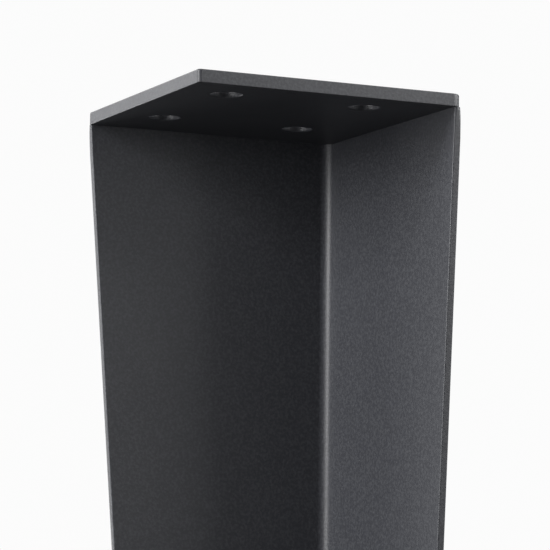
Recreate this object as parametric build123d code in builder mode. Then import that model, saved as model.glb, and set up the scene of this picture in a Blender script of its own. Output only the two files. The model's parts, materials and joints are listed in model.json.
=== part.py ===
"""Table leg: a tapered angle folded from sheet steel, welded under a square screw plate.

Millimetres. The origin is the middle of the plate's upper face, which meets the table top,
and +Z is up. The fold is the corner towards +X and +Y. One wing runs along the back, the
other along the right, and the open inside of the angle faces -X and -Y.
"""

import os

from build123d import *

# Driving dimensions

leg_height = 710.0  # upper face of the plate to the floor
plate_side = 110.0
plate_thickness = 5.0
plate_corner_radius = 3.8
free_corner_radius = 1.5  # the one corner that no wing stands under
plate_edge_round = 0.7
sheet_thickness = 3.0
bend_inner_radius = 4.0
foot_width = 55.0  # outside width of each wing at the floor
plate_overhang = 0.4  # the plate stands this far past the free edge of each wing
sheet_edge_round = 0.5  # deburred and coated edges
blend_height = 9.0  # free edges are ground to the plate's corners over this height
hole_spacing = 58.0
hole_edge_distance = 20.0  # hole centres from the plate's two free sides
screw_hole_diameter = 12.0
hole_mouth_diameter = 13.4  # lower edge of each hole, chamfered
hole_mouth_angle = 90.0

# Places worked out from the dimensions

outer_face = plate_side / 2
free_side = -plate_side / 2
underside = -plate_thickness
floor = -leg_height
bend_outer_radius = bend_inner_radius + sheet_thickness
free_edge_at_plate = free_side + plate_overhang
free_edge_at_floor = outer_face - foot_width
hole_centre = free_side + hole_edge_distance + hole_spacing / 2
edge_taper = (free_edge_at_floor - free_edge_at_plate) / (underside - floor)
diagonal = Plane(origin=(0, 0, 0), z_dir=(1, -1, 0))
trim = sheet_thickness  # how far blanks and cuts reach past the finished edges


def free_edge(z):
    """Where the free edge of a wing lies, across the wing, at height z."""
    return free_edge_at_plate + edge_taper * (underside - z)


def blend_section(z, radius):
    """What is ground off outside a corner of this radius on the back wing's free edge."""
    edge = free_edge(z)
    with BuildSketch(Plane.XY.offset(z)) as section:
        with BuildLine():
            corner = CenterArc((edge + radius, outer_face - radius), radius, 90, 90)
            Polyline(
                corner @ 0,
                (edge + radius, outer_face + trim),
                (edge - trim, outer_face + trim),
                (edge - trim, outer_face - radius),
                corner @ 1,
            )
        make_face()
    return section.sketch


# Grinding at the two free edges, from the plate's corner radius down to the plain edge

with BuildPart() as corner_blend:
    loft(
        sections=[
            blend_section(underside, plate_corner_radius),
            blend_section(underside - blend_height, sheet_edge_round),
        ],
        ruled=True,
    )
    mirror(about=diagonal)

# Angle: one blank of sheet, folded along its middle

with BuildPart() as angle_leg:
    with BuildSketch(Plane.XY.offset(underside)):
        with BuildLine():
            outside = FilletPolyline(
                (free_side - trim, outer_face),
                (outer_face, outer_face),
                (outer_face, free_side - trim),
                radius=bend_outer_radius,
            )
            offset(outside, amount=sheet_thickness, side=Side.RIGHT)
        make_face()
    extrude(amount=floor - underside)

    # The blank's two free edges run in towards the fold on the way down
    for across in (Vector(1, 0, 0), Vector(0, 1, 0)):
        start = across * free_edge_at_plate + Vector(0, 0, underside)
        inward = across + Vector(0, 0, edge_taper)
        split(bisect_by=Plane(start, z_dir=inward), keep=Keep.TOP)

    free_edges = edges().sort_by(SortBy.LENGTH)[-4:]
    floor_edges = faces().sort_by(Axis.Z)[0].edges()
    fillet(free_edges + floor_edges, sheet_edge_round)
    add(corner_blend.part, mode=Mode.SUBTRACT)

# Plate: rounded square with four holes, chamfered on the underside

with BuildPart() as top_plate:
    with BuildSketch():
        Rectangle(plate_side, plate_side)
        corners = vertices().sort_by(Axis((0, 0, 0), (1, 1, 0)))
        fillet(corners[-1], bend_outer_radius)
        fillet(corners[1:-1], plate_corner_radius)
        fillet(corners[0], free_corner_radius)
    extrude(amount=underside)
    rim = faces().filter_by(Axis.Z).edges()
    fillet(rim, plate_edge_round)
    with Locations(Plane((hole_centre, hole_centre, underside), z_dir=(0, 0, -1))):
        with GridLocations(hole_spacing, hole_spacing, 2, 2):
            CounterSinkHole(
                radius=screw_hole_diameter / 2,
                counter_sink_radius=hole_mouth_diameter / 2,
                counter_sink_angle=hole_mouth_angle,
            )

os.makedirs("parts", exist_ok=True)
angle_leg.part.label = "angle_leg"
export_step(angle_leg.part, "parts/angle_leg.step")
top_plate.part.label = "top_plate"
export_step(top_plate.part, "parts/top_plate.step")
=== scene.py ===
"""Tapered steel table leg: a folded angle under a square screw plate, in black powder coat."""

import json
import math

import bpy
from bpy.props import FloatProperty, FloatVectorProperty, IntProperty, PointerProperty
from bpy.types import Operator, Panel, PropertyGroup
from mathutils import Euler, Matrix, Vector


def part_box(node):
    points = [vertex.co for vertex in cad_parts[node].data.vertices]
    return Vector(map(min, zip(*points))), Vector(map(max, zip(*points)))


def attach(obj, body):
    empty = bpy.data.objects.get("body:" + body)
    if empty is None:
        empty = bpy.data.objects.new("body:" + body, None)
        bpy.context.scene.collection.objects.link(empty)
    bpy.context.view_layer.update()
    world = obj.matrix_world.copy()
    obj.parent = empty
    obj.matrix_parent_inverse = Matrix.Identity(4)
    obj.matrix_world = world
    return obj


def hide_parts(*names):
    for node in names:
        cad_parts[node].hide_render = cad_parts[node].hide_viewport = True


bl_info = {
    "name": "Folded Table Leg",
    "version": (1, 0, 0),
    "blender": (4, 5, 0),
    "location": "3D View > Sidebar > Table Leg",
    "description": "Builds a tapered, folded table leg with its screw plate, coat and studio",
    "category": "Add Mesh",
}

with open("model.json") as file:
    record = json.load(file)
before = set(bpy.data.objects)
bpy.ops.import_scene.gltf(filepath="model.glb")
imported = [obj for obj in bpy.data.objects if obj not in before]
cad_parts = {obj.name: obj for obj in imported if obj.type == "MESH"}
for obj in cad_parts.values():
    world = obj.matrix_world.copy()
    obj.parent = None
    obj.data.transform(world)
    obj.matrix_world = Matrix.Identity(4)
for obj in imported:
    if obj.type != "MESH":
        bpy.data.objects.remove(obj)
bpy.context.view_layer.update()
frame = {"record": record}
MM = 0.001

# Places that the frame gives

plate_low, plate_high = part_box("top_plate")
leg_low, leg_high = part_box("angle_leg")
mounts = {mount["name"]: mount for mount in frame["record"]["mounts"]}
screw_holes = mounts["screw_holes"]
FLOOR = leg_low.z

# Fineness of the meshes

EDGE_STEPS = 5  # steps round each quarter of a rounded edge
HOLE_POINTS = 64
FLOOR_POINTS = 128
WELD_DISTANCE = 0.001 * MM
HARD_TURN = math.radians(35)  # an edge that turns more than this keeps its crease

# Easing of the wings' free edges. Each step of the run-out gives how far down the ground part it is
# and how much of the grinding is left there, as shares. The inner arris's radius is a share of the
# sheet's edge radius, and grows with the grinding. The rounding at the floor takes up most of both.

RUN_OUT = ((0.0, 1.0), (0.1, 0.8), (0.25, 0.53), (0.5, 0.25), (1.0, 0.0))
INNER_SHARE = 0.95
INNER_GROWTH = 0.75
FLOOR_TAKES = 0.9


class LegSizes(PropertyGroup):
    """Sizes of the folded angle and its plate"""

    plate_side: FloatProperty(
        name="Plate Side", description="Side of the square plate",
        default=plate_high.x - plate_low.x, unit="LENGTH")
    plate_thickness: FloatProperty(
        name="Plate Thickness", description="Thickness of the plate with its coat",
        default=plate_high.z - plate_low.z, unit="LENGTH")
    plate_corner: FloatProperty(
        name="Plate Corner", description="Radius of the plate's corners over the wings' free edges",
        default=3.8 * MM, unit="LENGTH")
    free_corner: FloatProperty(
        name="Free Corner", description="Radius of the plate's corner that no wing stands under",
        default=1.5 * MM, unit="LENGTH")
    upper_rim: FloatProperty(
        name="Upper Rim", description="Radius of the plate's edge against the table top",
        default=0.55 * MM, unit="LENGTH")
    lower_rim: FloatProperty(
        name="Lower Rim", description="Radius of the plate's edge round the underside",
        default=0.3 * MM, unit="LENGTH")
    sheet_thickness: FloatProperty(
        name="Sheet Thickness", description="Thickness of the folded sheet with its coat",
        default=3.0 * MM, unit="LENGTH")
    bend_radius: FloatProperty(
        name="Bend Radius", description="Inside radius of the fold",
        default=4.0 * MM, unit="LENGTH")
    foot_width: FloatProperty(
        name="Foot Width", description="Outside width of each wing at the floor",
        default=55.0 * MM, unit="LENGTH")
    overhang: FloatProperty(
        name="Plate Overhang", description="How far the plate stands past the wings' free edges",
        default=0.4 * MM, unit="LENGTH")
    sheet_edge: FloatProperty(
        name="Sheet Edge", description="Radius of the sheet's deburred and coated edges",
        default=0.5 * MM, unit="LENGTH")
    nose_round: FloatProperty(
        name="Nose Round", description="Radius that the free edges are ground to at the plate",
        default=2.1 * MM, unit="LENGTH")
    blend_height: FloatProperty(
        name="Blend Height", description="Height over which that grinding runs out",
        default=12.0 * MM, unit="LENGTH")
    mouth: FloatProperty(
        name="Hole Mouth", description="Diameter of the holes' eased edges at the underside",
        default=13.4 * MM, unit="LENGTH")
    coat_round: FloatProperty(
        name="Coat Round", description="Radius that the coat leaves on the holes' upper rims",
        default=0.35 * MM, unit="LENGTH")
    arc_steps: IntProperty(
        name="Arc Steps", description="Points on each rounded corner", default=8, min=2)


class CoatLook(PropertyGroup):
    """Look of the black powder coat"""

    colour: FloatVectorProperty(
        name="Colour", description="Body colour of the coat", subtype="COLOR", size=3,
        default=(0.0392, 0.0405, 0.0475), min=0.0, max=1.0)
    fleck: FloatVectorProperty(
        name="Fleck", description="Colour of the lighter grains", subtype="COLOR", size=3,
        default=(0.0668, 0.0692, 0.077), min=0.0, max=1.0)
    roughness: FloatProperty(
        name="Roughness", description="Mean roughness of the coat", default=0.45, subtype="FACTOR")
    grain: FloatProperty(
        name="Grain", description="Size of the coat's grains", default=1.1 * MM, unit="LENGTH")


class StudioLook(PropertyGroup):
    """Look of the floor, the light and the camera"""

    floor_colour: FloatVectorProperty(
        name="Floor", description="Colour of the pale floor", subtype="COLOR", size=3,
        default=(0.7, 0.7, 0.7), min=0.0, max=1.0)
    floor_radius: FloatProperty(
        name="Floor Radius", description="Radius of the round floor", default=0.32, unit="LENGTH")
    backdrop: FloatProperty(
        name="Backdrop", description="Brightness of the white behind the leg", default=0.97)
    ambient: FloatProperty(
        name="Ambient", description="Light from all round", default=0.03)
    lens: FloatProperty(
        name="Lens", description="Focal length for a 36 mm sensor, in millimetres", default=168.55)
    azimuth: FloatProperty(
        name="Azimuth", description="Turn of the camera round the leg",
        default=math.radians(-25.54), subtype="ANGLE")
    elevation: FloatProperty(
        name="Elevation", description="Height angle of the camera, below level here",
        default=math.radians(-6.172), subtype="ANGLE")
    roll: FloatProperty(
        name="Roll", description="Lean of the camera", default=math.radians(0.565), subtype="ANGLE")
    distance: FloatProperty(
        name="Distance", description="Camera to the point it looks at",
        default=1.0007, unit="LENGTH")
    target: FloatVectorProperty(
        name="Target", description="Point that the camera looks at", size=3,
        default=(0.0028, 0.0, -0.0671), subtype="TRANSLATION")


class Value:
    """A node's output. A sum written with it adds the Math node that works it out."""

    def __init__(self, maker, socket):
        self.maker = maker
        self.socket = socket

    def __add__(self, other):
        return self.maker.math("ADD", self, other)

    def __radd__(self, other):
        return self.maker.math("ADD", other, self)

    def __sub__(self, other):
        return self.maker.math("SUBTRACT", self, other)

    def __rsub__(self, other):
        return self.maker.math("SUBTRACT", other, self)

    def __mul__(self, other):
        return self.maker.math("MULTIPLY", self, other)

    def __rmul__(self, other):
        return self.maker.math("MULTIPLY", other, self)

    def __truediv__(self, other):
        return self.maker.math("DIVIDE", self, other)

    def __mod__(self, other):
        return self.maker.math("MODULO", self, other)

    def __neg__(self):
        return self.maker.math("MULTIPLY", self, -1.0)

    def floor(self):
        """The whole number below."""
        return self.maker.math("FLOOR", self)


class Maker:
    """Adds nodes to one tree."""

    def __init__(self, tree):
        self.tree = tree

    def add(self, kind, settings=None, inputs=None, output=0):
        """Adds a node, sets its settings, then its sockets, and gives one of its outputs."""
        node = self.tree.nodes.new(kind)
        for name, setting in (settings or {}).items():
            if name == "items":
                while len(node.index_switch_items) < setting:
                    node.index_switch_items.new()
            elif name == "stops":
                for stop, (place, level) in zip(node.color_ramp.elements, setting):
                    stop.position = place
                    stop.color = (level, level, level, 1.0)
            else:
                setattr(node, name, setting)
        for name, value in (inputs or {}).items():
            self.feed(node.inputs[name], value)
        return Value(self, node.outputs[output]) if node.outputs else node

    def feed(self, socket, value):
        """Links a value, or each value of a list, to a socket, or sets the socket's number."""
        for entry in value if isinstance(value, list) else [value]:
            if isinstance(entry, Value):
                self.tree.links.new(entry.socket, socket)
            else:
                socket.default_value = entry

    def math(self, operation, first, second=0.0):
        """One Math node."""
        return self.add("ShaderNodeMath", {"operation": operation}, {0: first, 1: second})

    def point(self, x, y, z):
        """A vector of three values."""
        return self.add("ShaderNodeCombineXYZ", inputs={"X": x, "Y": y, "Z": z})


def new_group(name, inputs):
    """A geometry node group with named inputs. Gives the group, its maker and its inputs."""
    group = bpy.data.node_groups.new(name, "GeometryNodeTree")
    for label, kind in inputs.items():
        group.interface.new_socket(label, in_out="INPUT", socket_type="NodeSocket" + kind)
    group.interface.new_socket("Geometry", in_out="OUTPUT", socket_type="NodeSocketGeometry")
    maker = Maker(group)
    source = group.nodes.new("NodeGroupInput")
    values = {label: Value(maker, source.outputs[label]) for label in inputs}
    return group, maker, values


def end_group(maker, geometry):
    """Joins a group's last geometry to its output."""
    maker.add("NodeGroupOutput", inputs={0: geometry})


def by_index(nodes, kind, values):
    """One of these values for each point, by the point's number."""
    return nodes.add(
        "GeometryNodeIndexSwitch", {"data_type": kind, "items": len(values)},
        {"Index": nodes.add("GeometryNodeInputIndex"),
         **{str(number): value for number, value in enumerate(values)}})


def lift(nodes, geometry, height):
    """Moves geometry up by this height."""
    offset = nodes.point(0.0, 0.0, height)
    return nodes.add("GeometryNodeSetPosition", inputs={"Geometry": geometry, "Offset": offset})


def loft_group():
    """A skin over closed sections that have the same number of points, in their order."""
    group, nodes, given = new_group("Loft", {"Sections": "Geometry", "Rings": "Int"})
    total = nodes.add(
        "GeometryNodeAttributeDomainSize", {"component": "CURVE"},
        {"Geometry": given["Sections"]}, "Point Count")
    around = total / given["Rings"]
    grid = nodes.add(
        "GeometryNodeMeshGrid", inputs={"Vertices X": given["Rings"], "Vertices Y": around + 1})
    index = nodes.add("GeometryNodeInputIndex")
    ring = (index / (around + 1)).floor()
    step = (index - ring * (around + 1)) % around
    place = nodes.add(
        "GeometryNodeSampleIndex", {"data_type": "FLOAT_VECTOR"},
        {"Geometry": given["Sections"], "Value": nodes.add("GeometryNodeInputPosition"),
         "Index": ring * around + step})
    skin = nodes.add("GeometryNodeSetPosition", inputs={"Geometry": grid, "Position": place})
    end_group(nodes, skin)
    return group


def sheet_section_group():
    """One level section of the folded sheet, its corners rounded."""
    sizes = ("Outer Face", "Inner Face", "Free Edge", "Outer Bend", "Inner Bend",
             "Outer Edge", "Inner Edge", "Height")
    group, nodes, given = new_group(
        "Sheet section", {**{size: "Float" for size in sizes}, "Steps": "Int"})
    outer, inner, edge = given["Outer Face"], given["Inner Face"], given["Free Edge"]
    corners = (
        (edge, outer, given["Outer Edge"]), (outer, outer, given["Outer Bend"]),
        (outer, edge, given["Outer Edge"]), (inner, edge, given["Inner Edge"]),
        (inner, inner, given["Inner Bend"]), (edge, inner, given["Inner Edge"]),
    )
    place = by_index(nodes, "VECTOR", [nodes.point(x, y, given["Height"]) for x, y, _ in corners])
    radius = by_index(nodes, "FLOAT", [radius for _, _, radius in corners])
    outline = nodes.add("GeometryNodeMeshLine", inputs={"Count": len(corners)})
    outline = nodes.add("GeometryNodeSetPosition", inputs={"Geometry": outline, "Position": place})
    outline = nodes.add("GeometryNodeMeshToCurve", inputs={"Mesh": outline})
    outline = nodes.add("GeometryNodeSetSplineCyclic", inputs={"Geometry": outline, "Cyclic": True})
    outline = nodes.add(
        "GeometryNodeFilletCurve", {"mode": "POLY"},
        {"Curve": outline, "Count": given["Steps"], "Radius": radius, "Limit Radius": True})
    end_group(nodes, outline)
    return group


def finish_skin(nodes, pieces, material):
    """Welds the pieces of a skin, keeps its hard edges hard and gives it its material."""
    skin = nodes.add("GeometryNodeJoinGeometry", inputs={"Geometry": pieces})
    skin = nodes.add("GeometryNodeRealizeInstances", inputs={"Geometry": skin})
    skin = nodes.add(
        "GeometryNodeMergeByDistance", inputs={"Geometry": skin, "Distance": WELD_DISTANCE})
    angle = nodes.add("GeometryNodeInputMeshEdgeAngle", output="Unsigned Angle")
    hard = nodes.add(
        "FunctionNodeCompare", {"operation": "GREATER_THAN"}, {"A": angle, "B": HARD_TURN})
    skin = nodes.add("GeometryNodeSetShadeSmooth", inputs={"Geometry": skin, "Shade Smooth": True})
    skin = nodes.add(
        "GeometryNodeSetShadeSmooth", {"domain": "EDGE"},
        {"Geometry": skin, "Selection": hard, "Shade Smooth": False})
    return nodes.add("GeometryNodeSetMaterial", inputs={"Geometry": skin, "Material": material})


def level_face(nodes, outlines, height, facing_up):
    """A flat face inside closed outlines, at one height."""
    face = nodes.add("GeometryNodeFillCurve", inputs={"Curve": outlines})
    if not facing_up:
        face = nodes.add("GeometryNodeFlipFaces", inputs={"Mesh": face})
    return lift(nodes, face, height)


def quarter(steps):
    """Sine and one minus cosine of even turns from 0 to 90 degrees."""
    turns = [math.pi / 2 * step / steps for step in range(steps + 1)]
    return [(math.sin(turn), 1 - math.cos(turn)) for turn in turns]


def loft(nodes, loft_tree, sections):
    """A skin over a list of sections."""
    joined = nodes.add("GeometryNodeJoinGeometry", inputs={"Geometry": sections[::-1]})
    return nodes.add(
        "GeometryNodeGroup", {"node_tree": loft_tree},
        {"Sections": joined, "Rings": len(sections)})


def angle_tree(material, loft_tree):
    """The folded angle: sections from the plate to the floor, skinned and capped."""
    sizes = ("Outer Face", "Sheet", "Bend", "Edge At Plate", "Edge At Floor", "Underside", "Floor",
             "Edge Round", "Nose Round", "Blend Height")
    group, nodes, given = new_group(
        "Folded angle", {**{size: "Float" for size in sizes}, "Steps": "Int"})
    section_tree = sheet_section_group()
    top, floor, rounding = given["Underside"], given["Floor"], given["Edge Round"]
    taper = (given["Edge At Floor"] - given["Edge At Plate"]) / (top - floor)

    def section(height, inset, outer_edge, inner_edge):
        return nodes.add("GeometryNodeGroup", {"node_tree": section_tree}, {
            "Outer Face": given["Outer Face"] - inset,
            "Inner Face": given["Outer Face"] - given["Sheet"] + inset,
            "Free Edge": given["Edge At Plate"] + (top - height) * taper + inset,
            "Outer Bend": given["Bend"] + given["Sheet"] - inset,
            "Inner Bend": given["Bend"] + inset,
            "Outer Edge": outer_edge, "Inner Edge": inner_edge,
            "Height": height, "Steps": given["Steps"],
        })

    sections = []
    for depth, share in RUN_OUT:
        outer_edge = rounding + (given["Nose Round"] - rounding) * share
        inner_edge = rounding * (INNER_SHARE + INNER_GROWTH * share)
        height = top - given["Blend Height"] * depth
        sections.append(section(height, 0.0, outer_edge, inner_edge))
    for sine, rest in quarter(EDGE_STEPS):
        outer_edge = rounding * (1 - FLOOR_TAKES * rest)
        height = floor + rounding * (1 - sine)
        sections.append(section(height, rounding * rest, outer_edge, outer_edge * INNER_SHARE))
    pieces = [
        nodes.add("GeometryNodeFlipFaces", inputs={"Mesh": loft(nodes, loft_tree, sections)}),
        level_face(nodes, sections[0], top, True),
        level_face(nodes, sections[-1], floor, False),
    ]
    end_group(nodes, finish_skin(nodes, pieces, material))
    return group


def plate_tree(material, loft_tree):
    """The screw plate: a rounded outline with soft edges, and holes with eased edges on a grid."""
    sizes = ("Side", "Thickness", "Corner", "Free Corner", "Fold Corner", "Upper Rim", "Lower Rim",
             "Hole Radius", "Mouth Radius", "Coat Round", "Hole Spacing", "Hole Centre")
    group, nodes, given = new_group(
        "Screw plate", {**{size: "Float" for size in sizes}, "Steps": "Int"})
    upper, lower, coat = given["Upper Rim"], given["Lower Rim"], given["Coat Round"]
    underside = -given["Thickness"]
    corners = ("Fold Corner", "Corner", "Free Corner", "Corner")
    corner_radius = by_index(nodes, "FLOAT", [given[corner] for corner in corners])

    def outline(inset, height):
        side = given["Side"] - inset * 2
        curve = nodes.add("GeometryNodeCurvePrimitiveQuadrilateral", {"mode": "RECTANGLE"},
                          {"Width": side, "Height": side})
        curve = nodes.add("GeometryNodeFilletCurve", {"mode": "POLY"}, {
            "Curve": curve, "Count": given["Steps"], "Radius": corner_radius - inset})
        return lift(nodes, curve, height)

    def circle(radius, height):
        curve = nodes.add("GeometryNodeCurvePrimitiveCircle",
                          inputs={"Resolution": HOLE_POINTS, "Radius": radius})
        return lift(nodes, curve, height)

    arc = quarter(EDGE_STEPS)
    rim = [outline(upper * rest, upper * (sine - 1)) for sine, rest in reversed(arc)]
    rim += [outline(lower * rest, underside + lower * (1 - sine)) for sine, rest in arc]

    bore = given["Hole Radius"]
    lip = given["Mouth Radius"] - bore
    lining = [circle(bore + coat * rest, coat * (sine - 1)) for sine, rest in reversed(arc)]
    lining += [circle(bore + lip * rest, underside + lip * (1 - sine)) for sine, rest in arc]

    grid = nodes.add("GeometryNodeMeshGrid", inputs={
        "Size X": given["Hole Spacing"], "Size Y": given["Hole Spacing"],
        "Vertices X": 2, "Vertices Y": 2})
    centre = nodes.point(given["Hole Centre"], given["Hole Centre"], 0.0)
    spots = nodes.add("GeometryNodeSetPosition", inputs={"Geometry": grid, "Offset": centre})

    def at_holes(geometry):
        copies = nodes.add("GeometryNodeInstanceOnPoints",
                           inputs={"Points": spots, "Instance": geometry})
        return nodes.add("GeometryNodeRealizeInstances", inputs={"Geometry": copies})

    def holed_face(edge, rim_circle, height, facing_up):
        outlines = nodes.add("GeometryNodeJoinGeometry",
                             inputs={"Geometry": [edge, at_holes(rim_circle)]})
        return level_face(nodes, outlines, height, facing_up)

    wall = nodes.add("GeometryNodeFlipFaces", inputs={"Mesh": loft(nodes, loft_tree, lining)})
    pieces = [
        loft(nodes, loft_tree, rim),
        at_holes(wall),
        holed_face(rim[0], lining[0], 0.0, True),
        holed_face(rim[-1], lining[-1], underside, False),
    ]
    end_group(nodes, finish_skin(nodes, pieces, material))
    return group


def grow(name, tree, inputs):
    """Runs a geometry tree with these inputs and keeps what it makes as a plain mesh."""
    piece = bpy.data.objects.new(name, bpy.data.meshes.new(name))
    bpy.context.scene.collection.objects.link(piece)
    modifier = piece.modifiers.new("Tree", "NODES")
    modifier.node_group = tree
    for item in tree.interface.items_tree:
        if item.in_out == "INPUT":
            modifier[item.identifier] = inputs[item.name]
    weighted = piece.modifiers.new("Flat faces stay flat", "WEIGHTED_NORMAL")
    weighted.keep_sharp = True
    graph = bpy.context.evaluated_depsgraph_get()
    mesh = bpy.data.meshes.new_from_object(piece.evaluated_get(graph), depsgraph=graph)
    piece.modifiers.clear()
    piece.data = mesh
    mesh.name = name
    if not mesh.polygons:
        raise RuntimeError(f"{name} came out empty")
    return piece


# Coat. Its roughness swings with the grain and, less, with a slow drift over the surface. The stops
# say where the grain's noise turns from the body's colour to the fleck's.

COAT_NAME = "black_coat_fine"
GRAIN_NOISE = {"Detail": 3.0, "Roughness": 0.6}
DRIFT_NOISE = {"Scale": 45.0, "Detail": 2.0}
FLECK_STOPS = ((0.42, 0.0), (0.68, 1.0))
GRAIN_SWING = 0.12
DRIFT_SWING = 0.06
GRAIN_DEPTH = 0.12 * MM
BUMP_STRENGTH = 0.75
NOISE_MEAN = 0.5
COLOUR_A, COLOUR_B, COLOUR_RESULT = 6, 7, 2  # a Mix node's sockets for colours


def black_coat(look):
    """Fine-texture black powder coat: small grains that catch the light, on a satin body."""
    material = bpy.data.materials.get(COAT_NAME)
    if material:
        return material
    material = bpy.data.materials.new(COAT_NAME)
    material.use_nodes = True
    nodes = Maker(material.node_tree)
    shader = material.node_tree.nodes["Principled BSDF"]
    place = nodes.add("ShaderNodeTexCoord", output="Object")
    grain = nodes.add("ShaderNodeTexNoise", inputs={
        "Vector": place, "Scale": 1 / look.grain, **GRAIN_NOISE}, output="Fac")
    drift = nodes.add("ShaderNodeTexNoise", inputs={"Vector": place, **DRIFT_NOISE}, output="Fac")
    fleck = nodes.add("ShaderNodeValToRGB", {"stops": FLECK_STOPS}, {"Fac": grain})
    colour = nodes.add(
        "ShaderNodeMix", {"data_type": "RGBA"},
        {"Factor": fleck, COLOUR_A: (*look.colour, 1.0), COLOUR_B: (*look.fleck, 1.0)},
        COLOUR_RESULT)
    nodes.feed(shader.inputs["Base Color"], colour)
    swing = (grain - NOISE_MEAN) * GRAIN_SWING
    slow_swing = (drift - NOISE_MEAN) * DRIFT_SWING
    nodes.feed(shader.inputs["Roughness"], look.roughness + swing + slow_swing)
    bump = nodes.add("ShaderNodeBump", inputs={
        "Strength": BUMP_STRENGTH, "Distance": GRAIN_DEPTH, "Height": grain})
    nodes.feed(shader.inputs["Normal"], bump)
    return material


def settle(piece, node):
    """The piece stands for its CAD node, on the leg's one body."""
    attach(piece, "root")
    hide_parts(node)


class TABLELEG_OT_angle(Operator):
    """Fold the tapered sheet into the leg's angle"""

    bl_idname = "table_leg.angle"
    bl_label = "Folded Angle"

    def execute(self, context):
        sizes = context.scene.leg_sizes
        outer = sizes.plate_side / 2
        piece = grow("folded_angle", angle_tree(black_coat(context.scene.leg_coat), loft_group()), {
            "Outer Face": outer,
            "Sheet": sizes.sheet_thickness,
            "Bend": sizes.bend_radius,
            "Edge At Plate": sizes.overhang - outer,
            "Edge At Floor": outer - sizes.foot_width,
            "Underside": leg_high.z,
            "Floor": FLOOR,
            "Edge Round": sizes.sheet_edge,
            "Nose Round": sizes.nose_round,
            "Blend Height": sizes.blend_height,
            "Steps": sizes.arc_steps,
        })
        settle(piece, "angle_leg")
        return {"FINISHED"}


class TABLELEG_OT_plate(Operator):
    """Make the screw plate with its four holes"""

    bl_idname = "table_leg.plate"
    bl_label = "Screw Plate"

    def execute(self, context):
        sizes = context.scene.leg_sizes
        piece = grow("screw_plate", plate_tree(black_coat(context.scene.leg_coat), loft_group()), {
            "Side": sizes.plate_side,
            "Thickness": sizes.plate_thickness,
            "Corner": sizes.plate_corner,
            "Free Corner": sizes.free_corner,
            "Fold Corner": sizes.bend_radius + sizes.sheet_thickness,
            "Upper Rim": sizes.upper_rim,
            "Lower Rim": sizes.lower_rim,
            "Hole Radius": screw_holes["dims"]["hole_r_mm"] * MM,
            "Mouth Radius": sizes.mouth / 2,
            "Coat Round": sizes.coat_round,
            "Hole Spacing": screw_holes["dims"]["spacing_x_mm"] * MM,
            "Hole Centre": screw_holes["pos_m"][0],
            "Steps": sizes.arc_steps,
        })
        settle(piece, "top_plate")
        return {"FINISHED"}


FLOOR_ROUGHNESS = 0.9
FADE_START = 0.2  # share of the floor's radius at which it starts to fade


def floor_material(look):
    """Matt pale floor that fades out towards its rim and is open from below."""
    material = bpy.data.materials.new("pale_floor")
    material.use_nodes = True
    nodes = Maker(material.node_tree)
    shader = material.node_tree.nodes["Principled BSDF"]
    shader.inputs["Base Color"].default_value = (*look.floor_colour, 1.0)
    shader.inputs["Roughness"].default_value = FLOOR_ROUGHNESS
    place = nodes.add("ShaderNodeTexCoord", output="Object")
    reach = nodes.add("ShaderNodeVectorMath", {"operation": "LENGTH"}, {0: place}, "Value")
    fade = nodes.add(
        "ShaderNodeMapRange", {"interpolation_type": "SMOOTHSTEP"},
        {"Value": reach, "From Min": look.floor_radius * FADE_START,
         "From Max": look.floor_radius, "To Min": 1.0, "To Max": 0.0})
    below = nodes.add("ShaderNodeNewGeometry", output="Backfacing")
    nodes.feed(shader.inputs["Alpha"], fade * (1 - below))
    return material


# Soft boxes: turn and height angle in degrees as seen from the leg's upper part, width and height
# in metres, power in watts

LAMPS = {
    "left_upper": (-86, 14, 0.5, 0.34, 14.2),
    "left_lower": (-85, 2, 0.5, 0.34, 6.8),
    "left_front": (-60, 2, 0.45, 0.34, 3.6),
    "left_high": (-75, 26, 0.5, 0.34, 10.4),
    "right_side": (60, 21, 0.7, 0.34, 8.8),
    "right_back": (80, 26, 0.7, 0.34, 10.0),
    "right_front": (40, 3, 0.7, 0.34, 3.0),
    "right_high": (40, 26, 0.7, 0.34, 3.4),
    "right_top": (65, 52, 1.0, 0.6, 5.4),
    "back_left": (-126, 1, 0.6, 0.48, 5.0),
    "back_middle": (-150, 10, 0.6, 0.48, 3.0),
    "back_right": (-165, -5, 0.6, 0.48, 0.5),
    "back_high": (-160, 29, 0.8, 0.48, 5.6),
    "back_low": (180, -5, 0.6, 0.48, 3.5),
    "back_down": (-161, -16, 0.6, 0.3, 4.6),
    "front_right": (20, 9, 0.7, 0.5, 1.3),
    "top": (0, 88, 1.2, 1.2, 5.0),
}
LAMP_DISTANCE = 1.6
LAMP_AIM = Vector((0.0, 0.0, -0.12))
SENSOR_WIDTH = 36.0  # millimetres


def outward(azimuth, elevation):
    """The direction from the leg to something at this turn and height angle."""
    return Vector((math.sin(azimuth) * math.cos(elevation),
                   -math.cos(azimuth) * math.cos(elevation),
                   math.sin(elevation)))


def add_lamp(name, azimuth, elevation, width, height, watts):
    """A soft box that faces the leg's upper part."""
    data = bpy.data.lights.new(name, "AREA")
    data.shape = "RECTANGLE"
    data.size = width
    data.size_y = height
    data.energy = watts
    lamp = bpy.data.objects.new(name, data)
    way = outward(math.radians(azimuth), math.radians(elevation))
    lamp.location = LAMP_AIM + way * LAMP_DISTANCE
    lamp.rotation_euler = (-way).to_track_quat("-Z", "Y").to_euler()
    lamp.visible_camera = False
    bpy.context.scene.collection.objects.link(lamp)


def pale_world(look):
    """White where the camera looks, dim where it lights."""
    world = bpy.data.worlds.new("studio")
    bpy.context.scene.world = world
    world.use_nodes = True
    nodes = Maker(world.node_tree)
    seen = nodes.add("ShaderNodeLightPath", output="Is Camera Ray")
    background = world.node_tree.nodes["Background"]
    background.inputs["Color"].default_value = (1.0, 1.0, 1.0, 1.0)
    nodes.feed(background.inputs["Strength"], look.ambient + seen * (look.backdrop - look.ambient))


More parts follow.
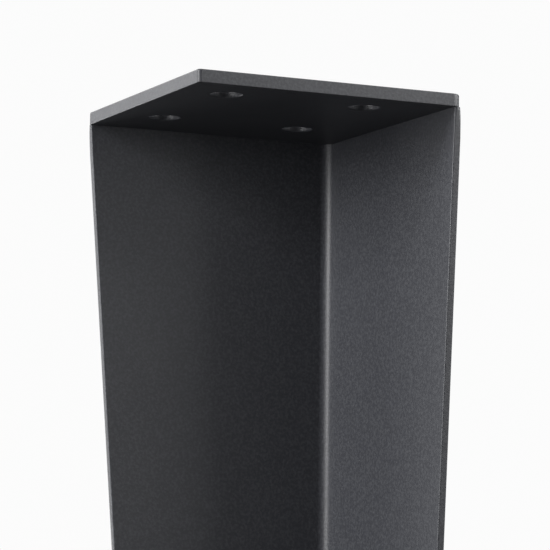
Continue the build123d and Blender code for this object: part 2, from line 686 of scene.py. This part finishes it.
def add_floor(look, foot_width):
    """The round floor under the leg's foot."""
    middle = leg_high.x - foot_width / 2
    bpy.ops.mesh.primitive_circle_add(
        vertices=FLOOR_POINTS, radius=look.floor_radius, fill_type="NGON",
        location=(middle, middle, FLOOR))
    floor = bpy.context.object
    floor.name = "floor"
    floor.data.materials.append(floor_material(look))


def add_camera(look):
    """A camera at the photograph's viewing angle."""
    camera = bpy.data.objects.new("camera", bpy.data.cameras.new("camera"))
    camera.data.lens = look.lens
    camera.data.sensor_width = SENSOR_WIDTH
    turn = Euler((math.pi / 2 - look.elevation, 0.0, look.azimuth)).to_matrix()
    turn = turn @ Matrix.Rotation(look.roll, 3, "Z")
    camera.rotation_euler = turn.to_euler()
    way = outward(look.azimuth, look.elevation)
    camera.location = Vector(look.target) + way * look.distance
    bpy.context.scene.collection.objects.link(camera)
    bpy.context.scene.camera = camera


class TABLELEG_OT_studio(Operator):
    """Set the floor, the soft light and the camera"""

    bl_idname = "table_leg.studio"
    bl_label = "Studio"

    def execute(self, context):
        scene = context.scene
        look = scene.leg_studio
        add_floor(look, scene.leg_sizes.foot_width)
        pale_world(look)
        for name, setting in LAMPS.items():
            add_lamp(name, *setting)
        add_camera(look)
        scene.view_settings.view_transform = "Standard"
        return {"FINISHED"}


class TABLELEG_PT_panel(Panel):
    """Buttons for the leg's pieces"""

    bl_idname = "TABLELEG_PT_panel"
    bl_label = "Table Leg"
    bl_space_type = "VIEW_3D"
    bl_region_type = "UI"
    bl_category = "Table Leg"

    def draw(self, context):
        for group in (context.scene.leg_sizes, context.scene.leg_coat, context.scene.leg_studio):
            box = self.layout.box()
            for name in group.__annotations__:
                box.prop(group, name)
        for operator in OPERATORS:
            self.layout.operator(operator.bl_idname)


OPERATORS = (TABLELEG_OT_angle, TABLELEG_OT_plate, TABLELEG_OT_studio)
GROUPS = {"leg_sizes": LegSizes, "leg_coat": CoatLook, "leg_studio": StudioLook}


def register():
    for group in GROUPS.values():
        bpy.utils.register_class(group)
    for name, group in GROUPS.items():
        setattr(bpy.types.Scene, name, PointerProperty(type=group))
    for entry in (*OPERATORS, TABLELEG_PT_panel):
        bpy.utils.register_class(entry)


def unregister():
    for entry in reversed((*OPERATORS, TABLELEG_PT_panel)):
        bpy.utils.unregister_class(entry)
    for name, group in reversed(GROUPS.items()):
        delattr(bpy.types.Scene, name)
        bpy.utils.unregister_class(group)


def main():
    register()
    bpy.ops.table_leg.angle()
    bpy.ops.table_leg.plate()
    bpy.ops.table_leg.studio()


if __name__ == "__main__":
    main()
